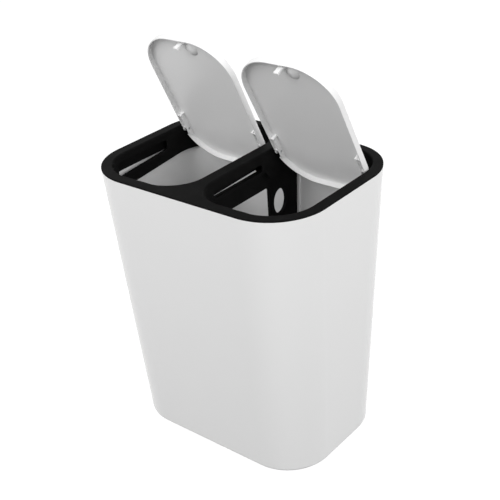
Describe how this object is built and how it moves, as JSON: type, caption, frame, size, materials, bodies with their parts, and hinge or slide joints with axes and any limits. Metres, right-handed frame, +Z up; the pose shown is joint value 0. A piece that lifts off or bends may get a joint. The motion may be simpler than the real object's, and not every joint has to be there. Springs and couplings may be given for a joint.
{
  "type": "double recycling bin",
  "caption": "Tapered two-compartment recycling bin with a lift-off rim frame, a divider panel in rails and sprung push-open lids that hinge near the back.",
  "frame": {"origin": "on the floor under the middle of the bin", "axes": "+Z up, -Y to the front where the lids are pushed, +X to the right along the long side"},
  "size_m": [0.4, 0.295, 0.6395],
  "materials": {
    "white_plastic": "smooth glossy white moulded plastic",
    "lid_plastic": "glossy white moulded plastic, satin on the underside",
    "black_plastic": "satin black moulded plastic",
    "latch_plastic": "natural acetal",
    "steel": "drawn spring steel"
  },
  "bodies": {
    "bin": {"outer_bin": "white_plastic"},
    "divider": {"divider_panel": "black_plastic"},
    "frame": {"rim_frame": "black_plastic", "left_lid_outer_pin": "steel", "right_lid_outer_pin": "steel", "left_lid_torsion_spring": "steel", "right_lid_torsion_spring": "steel", "left_latch_housing": "black_plastic", "right_latch_housing": "black_plastic", "left_latch_spring": "steel", "right_latch_spring": "steel"},
    "left_lid": {"left_lid": "lid_plastic", "left_lid_spring_shaft": "steel"},
    "right_lid": {"right_lid": "lid_plastic", "right_lid_spring_shaft": "steel"},
    "left_claw": {"left_latch_claw": "latch_plastic"},
    "right_claw": {"right_latch_claw": "latch_plastic"}
  },
  "joints": [
    {"name": "frame_lift_off", "type": "slide", "parent": "bin", "child": "frame", "axis": [0, 0, 1], "range_m": [0, 0.1]},
    {"name": "divider_lift", "type": "slide", "parent": "bin", "child": "divider", "axis": [0, 0, 1], "range_m": [0, 0.021]},
    {"name": "left_lid_hinge", "type": "hinge", "parent": "frame", "child": "left_lid", "pos_m": [-0.096, 0.075, 0.4515], "axis": [1, 0, 0], "range_deg": [0, 65.7], "stiffness_Nm_per_rad": 0.06, "springref_deg": -68.75},
    {"name": "right_lid_hinge", "type": "hinge", "parent": "frame", "child": "right_lid", "pos_m": [0.096, 0.075, 0.4515], "axis": [1, 0, 0], "range_deg": [0, 63], "stiffness_Nm_per_rad": 0.06, "springref_deg": -68.75},
    {"name": "left_latch_push", "type": "slide", "parent": "frame", "child": "left_claw", "axis": [0, 0, -1], "range_m": [0, 0.004], "stiffness_N_per_m": 300, "springref_m": -0.003, "deforming": ["left_latch_spring"]},
    {"name": "right_latch_push", "type": "slide", "parent": "frame", "child": "right_claw", "axis": [0, 0, -1], "range_m": [0, 0.004], "stiffness_N_per_m": 300, "springref_m": -0.003, "deforming": ["right_latch_spring"]}
  ]
}
